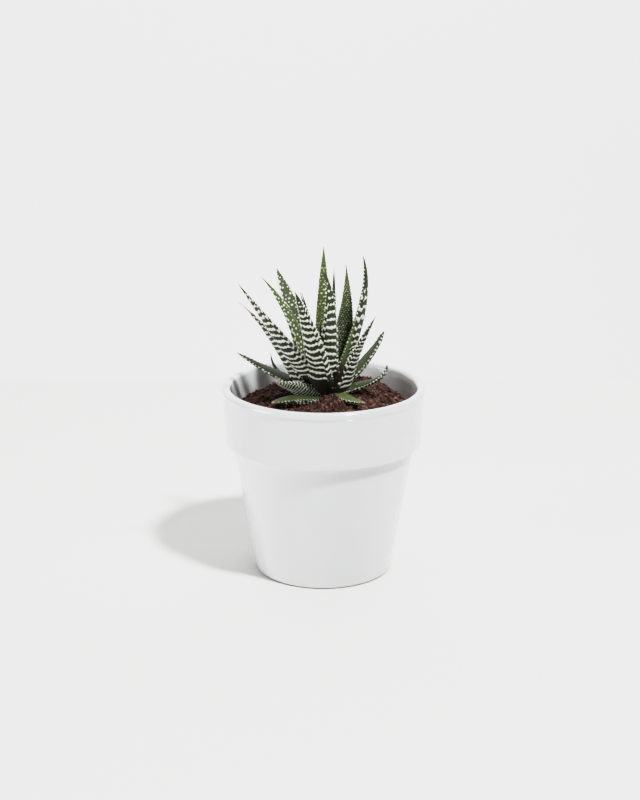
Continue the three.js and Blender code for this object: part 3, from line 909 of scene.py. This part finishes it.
@dataclass(frozen=True)
class Leaf:
    """A leaf: a swept form with the part's own sizes, and how its skin is marked.

    Attributes:
        azimuth: The way it faces, in degrees from +X towards +Y.
        root: How far its root lies from the stem's axis.
        height: Its root's height.
        lean: Its slope away from upright at the root and at the tip.
        power: How late along it the slope changes.
        flare: Extra slope at the root.
        turn: How much its azimuth changes towards the tip.
        roll: How far its faces are turned about its midline, at the root and at the tip.
        taper: The tip's form: 0.7 is blunt, 1.2 is drawn out.
        outer: How pale the green of its outer face is, from 0 to 1, at the root and at the tip.
        inner: The same for the inner face.
        shaded_foot: The share of its length, from the root, that painted shade darkens at the foot.
        dry_from: The share of its length where it is dried.
        thread: How much narrower the dried part is.
        bare_side: The edge with a bare, pale strip beside it: −1 for the left, 1, or 0 for none.
        step: How far apart its rings are.
    """

    name: str
    azimuth: float
    root: float
    height: float
    lean: tuple[float, float]
    power: float
    flare: float
    turn: float
    roll: tuple[float, float]
    length: float
    width: float
    thickness: float
    taper: float
    slot: Slot = Slot.DARK
    bands: Bands = field(default_factory=Bands)
    dots: Dots = field(default_factory=Dots)
    teeth: Teeth = field(default_factory=Teeth)
    outer: tuple[float, float] = (0.1, 0.3)
    inner: tuple[float, float] = (0.5, 0.5)
    shaded_foot: float = 0.12
    dry_from: float = 2.0
    thread: float = 0.0
    bare_side: float = 0.0
    step: float = 0.3
    seed: int = 1

    FLARE_SPAN = 0.3
    OUTER_BULGE = 0.72
    INNER_BULGE = 0.28
    OUTER_POINTS = 0.64
    LEAST_HALF_WIDTH = 0.16
    LEAST_THICKNESS = 0.3
    SOFT_EDGE = 0.26
    DRAWS = 16

    def axes(self, t: Array) -> tuple[Array, Array, Array]:
        """The leaf's axes at shares of its length.

        Its slope goes from the first lean to the last as t to the power, plus the flare, which
        dies away as a square. Its side and under axes are turned about the ahead axis by the roll.

        Args:
            t: Shares of its length.

        Returns:
            Unit vectors along it, out of its outer face, and to its side.
        """
        first, last = self.lean
        foot = self.flare * np.maximum(1 - t / self.FLARE_SPAN, 0) ** 2
        lean = np.radians(first + (last - first) * t**self.power + foot)[:, None]
        facing = np.radians(self.azimuth + self.turn * t)
        out = np.stack([np.cos(facing), np.sin(facing), np.zeros_like(facing)], -1)
        up = np.array([0.0, 0.0, 1.0])
        ahead = out * np.sin(lean) + up * np.cos(lean)
        under = out * np.cos(lean) - up * np.sin(lean)
        side = np.cross(ahead, under)
        twist = np.radians(self.roll[0] + (self.roll[1] - self.roll[0]) * t)[:, None]
        turned_side = side * np.cos(twist) + under * np.sin(twist)
        turned_under = under * np.cos(twist) - side * np.sin(twist)
        return ahead, turned_under, turned_side

    def midline(self, t: Array, stem: Stem) -> Array:
        """Points along its middle: the sum of the ahead axis over short steps from its root."""
        fine = np.linspace(0, 1, 1201)
        between = (fine[1:] + fine[:-1]) / 2
        ahead, _, _ = self.axes(between)
        path = np.vstack([np.zeros(3), np.cumsum(ahead, 0)]) * (self.length / len(between))
        facing = math.radians(self.azimuth)
        start = np.array([stem.x + self.root * math.cos(facing),
                          stem.y + self.root * math.sin(facing), self.height])
        return start + np.stack([np.interp(t, fine, path[:, k]) for k in range(3)], -1)

    def width_share(self, t: Array) -> Array:
        """Its width as a share of the greatest: a broad root, convex sides, a drawn-out tip."""
        root = 0.74 + 0.26 * np.sin(np.minimum(t / 0.2, 1) * math.pi / 2)
        share = 0.02 + 0.96 * root * np.maximum(1 - t, 0) ** self.taper * (1 + 0.9 * t)
        withered = smooth(t, self.dry_from - 0.03, self.dry_from + 0.03)
        return share * (1 - self.thread * withered)

    def outer_marks(self, t: Array, u: Array, w: Array) -> Array:
        """How far inside a tubercle a point of the outer face lies, in units of its soft edge.

        A point's row is its place along the leaf over the spacing. Noise makes the rows wander,
        their ends bow towards the tip, and near two lines along the leaf they step by part of a
        row, so that they fork there. A row is white near its middle line, and swells and narrows
        as its beads run together. Further along, the beads part into dots, and grow fewer.

        Args:
            t: Share of the leaf's length.
            u: Place across the face, from −1 to 1.
            w: The same along the skin, in millimetres.

        Returns:
            Values that are above 0 inside the white.
        """
        bands, seed = self.bands, self.seed * self.DRAWS
        s = t * self.length
        drift = ripple(s / 9 + seed, w / 5, seed) + 0.45 * ripple(s / 3.1, w / 1.9 + seed, seed + 1)
        row = bands.rows(s + bands.wander * drift + bands.slant * u - bands.bow * u * u, self.length)
        spacing = bands.spacing(t)
        row += bands.fork * smooth(u, bands.fork_right - 0.05, bands.fork_right + 0.05)
        row += bands.fork * (1 - smooth(u, bands.fork_left - 0.05, bands.fork_left + 0.05))
        band = np.floor(row)
        off = (row - band - 0.5) * spacing
        pitch = bands.bead
        across = w / pitch + 7 * chance(band, np.zeros_like(band), seed + 2)
        bead = np.floor(across)
        beside = (across - bead - 0.5) * pitch
        size = chance(bead, band, seed + 3)
        parted = smooth(t + 0.1 * ripple(s / 6, w / 3, seed + 4), bands.breaks - 0.07,
                        bands.breaks + 0.1)
        near = 0.5 * bands.white * spacing
        swell = 1 + 0.28 * ripple(w / 1.1, band * 5.3, seed + 5)
        swell *= 0.8 + 0.2 * np.cos(2 * math.pi * beside / pitch)
        started = smooth(t, bands.first - 0.04, bands.first + 0.05)
        stripe = near * swell - np.abs(off) - 1.5 * (1 - started)
        jitter = 0.35 * (chance(bead, band, seed + 6) - 0.5) * spacing
        radius = pitch * (0.24 + 0.27 * size) * (1 - bands.shrink * smooth(t, bands.breaks, 1.0))
        dot = radius - np.hypot((off - jitter) * 0.85, beside)
        fewer = 0.04 + 0.8 * smooth(t, bands.breaks + 0.05, max(bands.ends, bands.breaks + 0.2))
        dot = np.where(chance(bead, band, seed + 7) < fewer, dot - 1.0, dot)
        inside = stripe * (1 - parted) + dot * parted
        return inside / self.SOFT_EDGE

    def inner_marks(self, t: Array, w: Array) -> Array:
        """The same for the inner face, where white dots stand in loose rows."""
        dots, seed = self.dots, self.seed * self.DRAWS + 9
        s = t * self.length
        row = s / dots.pitch + 0.2 * ripple(s / 5, w / 3, seed)
        across = w / dots.pitch + 0.5 * np.mod(np.floor(row), 2)
        i, j = np.floor(row), np.floor(across)
        off = (row - i - 0.5 - 0.3 * (chance(i, j, seed + 1) - 0.5)) * dots.pitch
        beside = (across - j - 0.5 - 0.3 * (chance(i, j, seed + 2) - 0.5)) * dots.pitch
        radius = dots.radius * (0.6 + 0.8 * chance(i, j, seed + 3))
        kept = chance(i, j, seed + 4) < dots.share
        inside = np.where(kept, radius - np.hypot(off, beside), -1.0)
        inside = np.where(t > dots.along, -1.0, inside)
        return inside / self.SOFT_EDGE

    def edge_marks(self, t: Array, u: Array, w: Array) -> Array:
        """White teeth along the edges: a dot for each tooth, of uneven size and spacing."""
        seed = self.seed * self.DRAWS + 14
        s = t * self.length + np.sign(u) * 0.6
        pitch = self.teeth.pitch
        place = s / pitch + 0.25 * ripple(s / 4, np.sign(u), seed)
        tooth = np.floor(place)
        off = (place - tooth - 0.5) * pitch
        size = self.teeth.radius * (0.7 + 0.6 * chance(tooth, np.sign(u), seed + 1))
        size = size * smooth(t, 0.06, 0.16)
        return (size - np.hypot(off, w)) / self.SOFT_EDGE

    def bare_strip(self, t: Array, u: Array) -> Array:
        """Where the skin is bare and pale along one edge: 1 inside that strip and 0 outside it.

        The strip narrows towards the edge along the leaf, and ends before its middle.
        """
        inner_edge = 0.3 + 0.9 * t
        return smooth(u * self.bare_side, inner_edge, inner_edge + 0.12) * (1 - smooth(t, 0.46, 0.6))

    def skin(self, stem: Stem) -> tuple[Array, list[Array], dict[str, Array]]:
        """Works out the leaf's skin.

        A section's point at an angle is middle + side·cos·half width − under·sin·bulge, and the
        marks raise it along the section's own normal.

        Args:
            stem: The stem it grows from.

        Returns:
            Points, faces, and the values that the finish reads.
        """
        rows = max(int(self.length / self.step), 40)
        t = np.linspace(0, 1, rows) ** 0.97
        around = int(np.clip(self.width * 4.2, 22, 56)) // 2 * 2
        outer_count = int(around * self.OUTER_POINTS)
        angle = np.concatenate([
            np.linspace(0, math.pi, around - outer_count, endpoint=False),
            np.linspace(math.pi, 2 * math.pi, outer_count, endpoint=False),
        ])[None, :]
        share = self.width_share(t)[:, None]
        half = np.maximum(self.width / 2 * share, self.LEAST_HALF_WIDTH)
        through = np.maximum(self.thickness * share**0.8, self.LEAST_THICKNESS)
        outer = np.sin(angle) < -1e-9
        bulge = np.where(outer, self.OUTER_BULGE, self.INNER_BULGE) * through
        _, under, side = self.axes(t)
        cos, sin = np.cos(angle), np.sin(angle)
        u = np.where(outer, (angle - 1.5 * math.pi), (math.pi / 2 - angle)) / (math.pi / 2)
        arc = math.pi / 2 * np.sqrt((half**2 + bulge**2) / 2)
        w = u * arc
        t_all = np.broadcast_to(t[:, None], u.shape) if u.shape[0] > 1 else t[:, None] + 0 * u
        u_all = u + 0 * t_all
        at_edge = self.edge_marks(t_all, u_all, (1 - np.abs(u_all)) * arc)
        marks = np.where(outer, self.outer_marks(t_all, u_all, w), self.inner_marks(t_all, w))
        bare = self.bare_strip(t_all, u_all) * outer
        marks = marks - 3 * bare
        marks = np.maximum(marks, at_edge) - 3 * (1 - smooth(half, 0.3, 1.3))
        live = 1 - smooth(t_all, self.dry_from - 0.02, self.dry_from + 0.02)
        marks = np.where(live > 0.5, marks, -2.0)
        raised = self.bands.relief * smooth(marks, -1.2, 2.2)
        raised += self.teeth.relief * smooth(at_edge, -0.8, 1.2) * live
        raised *= smooth(half, 0.2, 1.6)
        uneven = 0.10 * ripple(t_all * self.length / 5, w / 3, self.seed + 40)
        normal_side, normal_under = cos / half, -sin / bulge
        scale = np.hypot(normal_side, normal_under)
        raised = raised + uneven * smooth(half, 0.3, 2.0)
        across = cos * half + raised * normal_side / scale
        deep = -sin * bulge + raised * normal_under / scale
        points = (self.midline(t, stem)[:, None] + side[:, None] * across[..., None]
                  + under[:, None] * deep[..., None])
        tone = np.where(outer, self.outer[0] + (self.outer[1] - self.outer[0]) * t_all,
                        self.inner[0] + (self.inner[1] - self.inner[0]) * t_all)
        margin = 0.15 * smooth(np.abs(u_all), 0.8, 1.0) * smooth(t_all, 0.08, 0.3)
        # Painted shade at the foot: 1 near the root, fading out over the leaf's shaded share of its
        # length.
        age = 1 - smooth(t_all + 0.05 * ripple(t_all * 12, w / 3, self.seed + 41),
                         self.shaded_foot * 0.4, self.shaded_foot + 0.04)
        surface = {
            "tubercle": np.clip(0.5 + 0.5 * marks, 0, 1),
            "paleness": tone + margin + 0.6 * bare,
            "dryness": 1 - live,
            "age": age,
        }
        skin, faces = closed_skin(points)
        return skin, faces, {key: with_poles(values) for key, values in surface.items()}

    def build(self, stem: Stem, finish: bpy.types.Material) -> bpy.types.Object:
        """The leaf, standing for its node."""
        points, faces, surface = self.skin(stem)
        piece = make_object(self.name + "_skin", points, faces, finish, surface)
        return place_piece(piece, self.slot, self.name)


def leaves() -> list[Leaf]:
    """The leaves, from the outer ones to the youngest, with the part's own sizes."""
    return [
        Leaf("leaf_front_broad", -111, 3, 95.5, (17, 36), 1, 32, -10, (-5, -8), 69.5, 13.8, 5, 1.07,
             bands=Bands((3.0, 3.3, 3.7, 4.0, 3.2, 3.0), 0.5, bow=1.6, first=0.17, breaks=0.78, ends=1.3,
                         fork_right=0.5, fork_left=-0.62), outer=(0.02, 0.12), shaded_foot=0.2, dry_from=0.975,
             seed=2),
        Leaf("leaf_front_hooked", -94, 3, 97.5, (11, -28), 3, 34.5, 64, (-4, 26), 67.7, 11.4, 4.2, 1.1,
             bands=Bands((3.2, 2.9, 3.6, 3.8, 3.6, 3.4), 0.46, bow=0.8, wander=0.7, first=0.17,
                         breaks=0.68, ends=1.15), outer=(0.02, 0.3), shaded_foot=0.2, dry_from=0.965, seed=3),
        Leaf("leaf_right_tall", 2, 3, 97.5, (19.2, -11.2), 3.2, 2, -2, (22, 14), 70.8, 14, 6, 1.0,
             bands=Bands((3.0, 2.9, 2.6, 4.6, 5.6, 4.0, 3.0), 0.46, bow=1.2, slant=0.8, first=0.13,
                         breaks=0.7, ends=1.0, bead=2.4, shrink=0.65), outer=(0.02, 0.3),
             inner=(0.6, 0.6), shaded_foot=0.1, bare_side=-1.0, seed=4),
        Leaf("leaf_left_long", -145.5, 3, 98.5, (37.4, 39.2), 1, 14, 0, (-22, -5), 78.2, 15.2, 4.8, 1.2,
             bands=Bands((3.0, 3.2, 3.3, 4.2, 4.6, 3.6, 3.4), 0.49, bow=1.9, wander=0.8, first=0.16,
                         breaks=0.95, ends=1.3), outer=(0.02, 0.2), shaded_foot=0.14, seed=5),
        Leaf("leaf_left_dry_tip", -174, 3, 96.5, (26.6, 50.8), 2.3, 82, 15, (-20, -15), 67.3, 14.3, 3.6,
             1.22, bands=Bands((3.2, 3.2, 3.2, 3.0), 0.45, bow=1.5, wander=0.9, first=0.16, breaks=0.9,
                         ends=1.2), outer=(0.02, 0.12), shaded_foot=0.18, dry_from=0.86, thread=0.3, seed=6),
        Leaf("leaf_right_mid", -28.7, 3, 94.5, (15, 33.3), 1, 50, 0, (12, 0), 50.2, 13.6, 4, 1.08,
             bands=Bands((3.4, 3.2, 2.6, 2.3, 2.0), 0.46, bow=1.4, first=0.14, breaks=0.7, ends=1.2),
             outer=(0.02, 0.1), shaded_foot=0.18, seed=7),
        Leaf("leaf_low_front_left", -156.4, 3, 91.9, (55.1, 75.2), 1, 0, 5.7, (-48, -33), 28.8, 12.4,
             4.4, 0.74, bands=Bands((1.5,), 0.5, bow=1.6, wander=0.35, first=0.06, breaks=1.3, ends=1.6,
                         relief=0.28), outer=(0.2, 0.5), shaded_foot=0.06, dry_from=0.97, step=0.16, seed=8),
        Leaf("leaf_low_right", 22, 3, 94.5, (50.5, 26.5), 1.8, 0, -12, (0, 0), 41.2, 9.5, 3.8, 0.65,
             Slot.MID, bands=Bands((2.6,), 0.36, breaks=0.3, ends=1.2), teeth=Teeth(2.1, 0.6, 0.4),
             outer=(0.3, 0.4), inner=(0.45, 0.5), seed=9),
        Leaf("leaf_low_right_upturned", 8.3, 3, 94.9, (74.4, -1.2), 4.18, 0, -43.5, (-4, -4), 34.5, 11,
             3.8, 0.89, bands=Bands((2.2,), 0.4, breaks=0.9), dots=Dots(2.0, 0.3, 0.12),
             teeth=Teeth(1.8, 0.5, 0.4), inner=(0.5, 0.3), seed=10),
        Leaf("leaf_resting_right", -44, 3, 96.7, (104.9, 84.7), 1, 0, 0, (0, 4), 24, 8.2, 4.2, 0.9,
             Slot.MID, bands=Bands((2.2,), 0.36, breaks=0.9), teeth=Teeth(1.5, 0.42, 0.25),
             inner=(0.6, 0.9), dry_from=0.9, seed=11),
        Leaf("leaf_resting_left", -151, 3, 91.5, (75, 96), 1, 0, 0, (-6, -10), 29.9, 13.6, 7, 0.68,
             bands=Bands((1.9,), 0.3, breaks=0.2, ends=1.2, bow=1.0, bead=1.2),
             teeth=Teeth(1.6, 0.36, 0.2), outer=(0.0, 0.2), inner=(0.3, 0.55), dry_from=0.96, seed=12),
        Leaf("leaf_low_left", 173, 3, 95.8, (73, 60), 1, 5, 0, (5, 4), 48, 12.6, 4.2, 1, Slot.MID,
             bands=Bands((2.4,), 0.3, breaks=0.3, ends=1.0), teeth=Teeth(2.0, 0.62, 0.35),
             inner=(0.0, 0.6), outer=(-0.1, 0.1), seed=13),
        Leaf("leaf_low_left_small", 148, 3, 95, (84, -4), 3, 5, 0, (0, 0), 39.3, 6, 3, 1,
             bands=Bands((2.6,), 0.25, breaks=0.3, ends=0.7), teeth=Teeth(2.2, 0.3, 0.15),
             inner=(0.2, 0.15), seed=14),
        Leaf("leaf_left_blunt", 140.9, 2.4, 103.5, (25.3, 33.4), 1, 37, -6.9, (12, 14), 61.4, 12.1, 4.4,
             0.855, Slot.MID, bands=Bands((3.6,), 0.4, breaks=0.2, ends=1.4),
             dots=Dots(1.9, 0.42, 0.85, 0.93), teeth=Teeth(2.8, 0.95, 0.4), inner=(0.3, 0.5),
             outer=(0.2, 0.4), seed=15),
        Leaf("leaf_left_pale", 183, 2.6, 100.5, (0, 43), 1, 76, 6, (12, 34), 65, 16.5, 6.4, 1.4,
             Slot.PALE, bands=Bands((3.6,), 0.4, breaks=0.6), dots=Dots(2.3, 0.5, 0.7, 0.9),
             teeth=Teeth(2.6, 0.6, 0.3), inner=(0.35, 0.55), outer=(0.2, 0.5), seed=16),
        # Its inner face darkens towards the root: painted shade.
        Leaf("leaf_right_dark", 36, 1.8, 106.5, (23.2, -7.2), 1, 30, 21, (-28, -28), 56.2, 13.1, 4.2,
             1.35, bands=Bands((3.4,), 0.4, breaks=0.6), dots=Dots(1.1, 0.22, 0.92, 0.96),
             teeth=Teeth(1.6, 0.4, 0.35), inner=(0.3, 0.8), seed=17),
        Leaf("leaf_centre_tallest", 115, 1.5, 108, (7.8, -6.1), 1, 16.5, -18, (0, 0), 62.8, 9.7, 3.4,
             1.07, Slot.PALE, bands=Bands((3.6,), 0.4, breaks=0.6), dots=Dots(1.7, 0.34, 0.85, 0.86),
             teeth=Teeth(1.7, 0.4, 0.25), inner=(0.55, 0.6), outer=(0.3, 0.5), seed=18),
        Leaf("leaf_young_right", 40, 1.4, 108.5, (4, 0), 1, 10, 0, (0, 0), 51, 5, 2.4, 1,
             bands=Bands((2.8,), 0.4, breaks=0.6), dots=Dots(2.0, 0.3, 0.3), inner=(0.2, 0.3), seed=19),
        Leaf("leaf_young_left_outer", -152, 1.6, 105.5, (14, 20), 1, 10, 0, (0, 0), 45.5, 4.6, 2.2, 1,
             bands=Bands((2.8,), 0.3, breaks=0.7), teeth=Teeth(2.0, 0.16, 0.15), outer=(-0.1, 0.0),
             seed=20),
        Leaf("leaf_young_left_inner", 178, 1.6, 107, (12, 18), 1, 10, 0, (0, 0), 42, 5.4, 2.4, 1,
             bands=Bands((2.8,), 0.3, breaks=0.7), teeth=Teeth(2.0, 0.16, 0.15), inner=(0.0, 0.0),
             outer=(-0.1, 0.0), seed=21),
        Leaf("leaf_heart", -120, 2, 105.5, (12, 10), 1, 10, 0, (0, 0), 28, 4.5, 2.4, 1,
             bands=Bands((2.6,), 0.3, breaks=0.5), outer=(-0.1, 0.1), seed=22),
        Leaf("leaf_back_tall_right", 62, 2.6, 99.5, (30, 14), 1, 34, 0, (0, 0), 45, 11, 4.2, 1.1,
             Slot.MID, dots=Dots(2.0, 0.34, 0.4), seed=23),
        Leaf("leaf_back_tall_left", 94, 2.6, 103.5, (20, 12), 1, 34, 0, (0, 0), 38, 9, 4.2, 1, Slot.MID,
             dots=Dots(2.0, 0.34, 0.4), seed=24),
        Leaf("leaf_back_spreading_right", 74, 3, 95.5, (58, 46), 1, 10, 0, (0, 0), 44, 9.5, 3.8, 1,
             Slot.MID, seed=25),
        Leaf("leaf_back_spreading_left", 116, 3, 95.5, (58, 48), 1, 10, 0, (0, 0), 40, 9.5, 3.8, 1,
             Slot.MID, seed=26),
        Leaf("leaf_back_mid_left", 130, 3, 98.5, (46, 36), 1, 20, 0, (0, 0), 36, 9, 3.8, 1, seed=27),
        Leaf("leaf_back_mid_right", 40, 3, 97.5, (54, 34), 1, 20, 0, (0, 0), 32, 9, 3.8, 1, seed=28),
        Leaf("leaf_back_resting", 95, 3, 92.5, (80, 70), 1, 0, 0, (0, 0), 36, 9, 3.8, 1, seed=29),
        Leaf("leaf_back_low_right", 56, 3, 93.5, (72, 44), 1, 0, 0, (0, 0), 30, 8.5, 3.6, 1, seed=30),
        Leaf("leaf_back_low_left", 132, 3, 93.5, (72, 52), 1, 0, 0, (0, 0), 36, 8.5, 3.6, 1, seed=31),
        # Its shaded share runs past its tip, so most of it takes the dried skin's foot colour: dried
        # brown darkened by painted shade.
        Leaf("leaf_dried", -60, 5.5, 95.5, (38, 12), 1, 0, 0, (0, 0), 21, 6, 1.6, 0.7, Slot.DRIED,
             bands=Bands((2.6,), 0.1, breaks=0.0, ends=0.1), teeth=Teeth(2.0, 0.1, 0.0), shaded_foot=1.5,
             seed=32),
    ]


@dataclass(frozen=True)
class Plant:
    """The rosette of leaves on its stem."""

    stem: Stem

    def build(self) -> list[bpy.types.Object]:
        """The stem and every leaf."""
        finishes = {
            Slot.DARK: LeafFinish("leaf_dark_skin").material(),
            Slot.MID: LeafFinish("leaf_mid_skin", green=(0.058, 0.082, 0.028)).material(),
            Slot.PALE: LeafFinish("leaf_pale_skin", green=(0.075, 0.112, 0.022),
                                  pale=(0.16, 0.21, 0.073)).material(),
            # The dried leaf's foot colour: its own dried brown, darkened by painted shade.
            Slot.DRIED: LeafFinish("leaf_dried_skin", foot=(0.024, 0.0136, 0.0072)).material(),
        }
        return [self.stem.build()] + [leaf.build(self.stem, finishes[leaf.slot]) for leaf in leaves()]


@dataclass(frozen=True)
class Lamp:
    """A round lamp: the direction it shines from, how far off, how wide, how strong and at what."""

    name: str
    direction: tuple[float, float, float]
    distance: float
    size: float
    watts: float
    aim: tuple[float, float, float] = (0.0, 0.0, 80.0)

    def build(self) -> None:
        """Puts the lamp in its place, facing what it is aimed at."""
        lamp = bpy.data.lights.new(self.name, "AREA")
        lamp.shape = "DISK"
        lamp.size = self.size * MM
        lamp.energy = self.watts
        towards = unit(np.array(self.direction))
        holder = bpy.data.objects.new(self.name, lamp)
        holder.location = ((np.array(self.aim) + towards * self.distance) * MM).tolist()
        side, dip = math.atan2(towards[0], -towards[1]), math.acos(towards[2])
        holder.rotation_euler = (dip, 0.0, side)
        bpy.context.scene.collection.objects.link(holder)


@dataclass(frozen=True)
class Film:
    """The photograph's tones: even up to a knee, then bending over towards its lightest tone.

    Above the knee k a light value x is shown as k + (t − k)·(1 − exp(−(x − k)/(t − k))), where t
    is the lightest tone, so pale surfaces stay pale in a strong light and dark ones keep their
    depth.
    """

    knee: float = 0.49
    lightest: float = 0.88
    span: float = 2.5
    stops: tuple[float, ...] = (0.0, 0.2, 0.4, 0.49, 0.6, 0.7, 0.85, 1.0, 1.2, 1.5, 1.9, 2.5)

    def shown(self, light: float) -> float:
        """How light a value is shown."""
        if light <= self.knee:
            return light
        room = self.lightest - self.knee
        return self.knee + room * (1 - math.exp((self.knee - light) / room))

    def load(self) -> None:
        """Sets the curve of the scene's view."""
        view = bpy.context.scene.view_settings
        view.view_transform = "Standard"
        view.use_curve_mapping = True
        mapping = view.curve_mapping
        mapping.white_level = (self.span, self.span, self.span)
        points = mapping.curves[3].points
        points[0].location = (0.0, 0.0)
        points[1].location = (1.0, self.shown(self.span))
        for light in self.stops[1:-1]:
            points.new(light / self.span, self.shown(light))
        mapping.update()


@dataclass(frozen=True)
class Studio:
    """The plain set: a pale table, a wall behind it, four lamps and a faint even light."""

    table_edge: float = 352.0
    wall_distance: float = 900.0
    reach: float = 3000.0
    lamps: tuple[Lamp, ...] = (
        Lamp("key_lamp", (41.6, -48.7, 99.0), 2200.0, 230.0, 56.0),
        Lamp("fill_lamp", (-94.0, -34.0, 5.0), 1700.0, 700.0, 22.0),
        Lamp("top_lamp", (0.0, 0.0, 100.0), 2000.0, 1800.0, 14.0),
        Lamp("wall_lamp", (0.0, -1200.0, -950.0), 1530.0, 300.0, 21.0, (0.0, 900.0, 50.0)),
    )
    daylight: float = 0.01
    camera_place: tuple[float, float, float] = (-1.9, -765.9, 321.3)
    camera_dip: float = 16.78
    camera_lens: float = 69.66
    camera_sensor: float = 36.0

    def sheet(self, name: str, corners: list[tuple[float, float, float]],
              finish: bpy.types.Material) -> bpy.types.Object:
        """A flat sheet over four corners."""
        mesh = bpy.data.meshes.new(name)
        points = np.array(corners) * MM
        mesh.from_pydata(points.tolist(), [], [(0, 1, 2, 3)])
        mesh.materials.append(finish)
        sheet = bpy.data.objects.new(name, mesh)
        bpy.context.scene.collection.objects.link(sheet)
        return sheet

    def build(self) -> None:
        """The set, its light and the camera."""
        far, edge, wall = self.reach, self.table_edge, self.wall_distance
        self.sheet("stage_table", [(-far, -far, 0), (far, -far, 0), (far, edge, 0), (-far, edge, 0)],
                   StageFinish("stage_table_paint", (0.86, 0.86, 0.845)).material())
        self.sheet("stage_wall", [(-far, wall, -far), (far, wall, -far), (far, wall, far),
                                  (-far, wall, far)],
                   StageFinish("stage_wall_paint", (0.87, 0.87, 0.87)).material())
        self.light()
        self.camera()

    def light(self) -> None:
        """A strong lamp high at the front right, wide ones low left and above, one for the wall.

        The wall's lamp stands under the table, out of sight.
        """
        world = bpy.data.worlds.new("studio_light")
        world.use_nodes = True
        background = world.node_tree.nodes["Background"]
        background.inputs["Color"].default_value = (1.0, 1.0, 1.0, 1.0)
        background.inputs["Strength"].default_value = self.daylight
        bpy.context.scene.world = world
        for lamp in self.lamps:
            lamp.build()

    def camera(self) -> None:
        """The camera, at the photograph's angle."""
        lens = bpy.data.cameras.new("camera")
        lens.sensor_width = self.camera_sensor
        lens.lens = self.camera_lens
        lens.clip_start, lens.clip_end = 0.05, 20.0
        holder = bpy.data.objects.new("camera", lens)
        holder.location = [MM * value for value in self.camera_place]
        holder.rotation_euler = (math.radians(90.0 - self.camera_dip), 0.0, 0.0)
        bpy.context.scene.collection.objects.link(holder)
        bpy.context.scene.camera = holder


def main() -> None:
    """Builds the studio, the pot, the soil and the plant."""
    logging.basicConfig(level=logging.INFO)
    Film().load()
    Studio().build()
    pot, stem = Pot(), Stem()
    pot.build()
    Soil(pot, stem).build()
    Plant(stem).build()


if __name__ == "__main__":
    main()
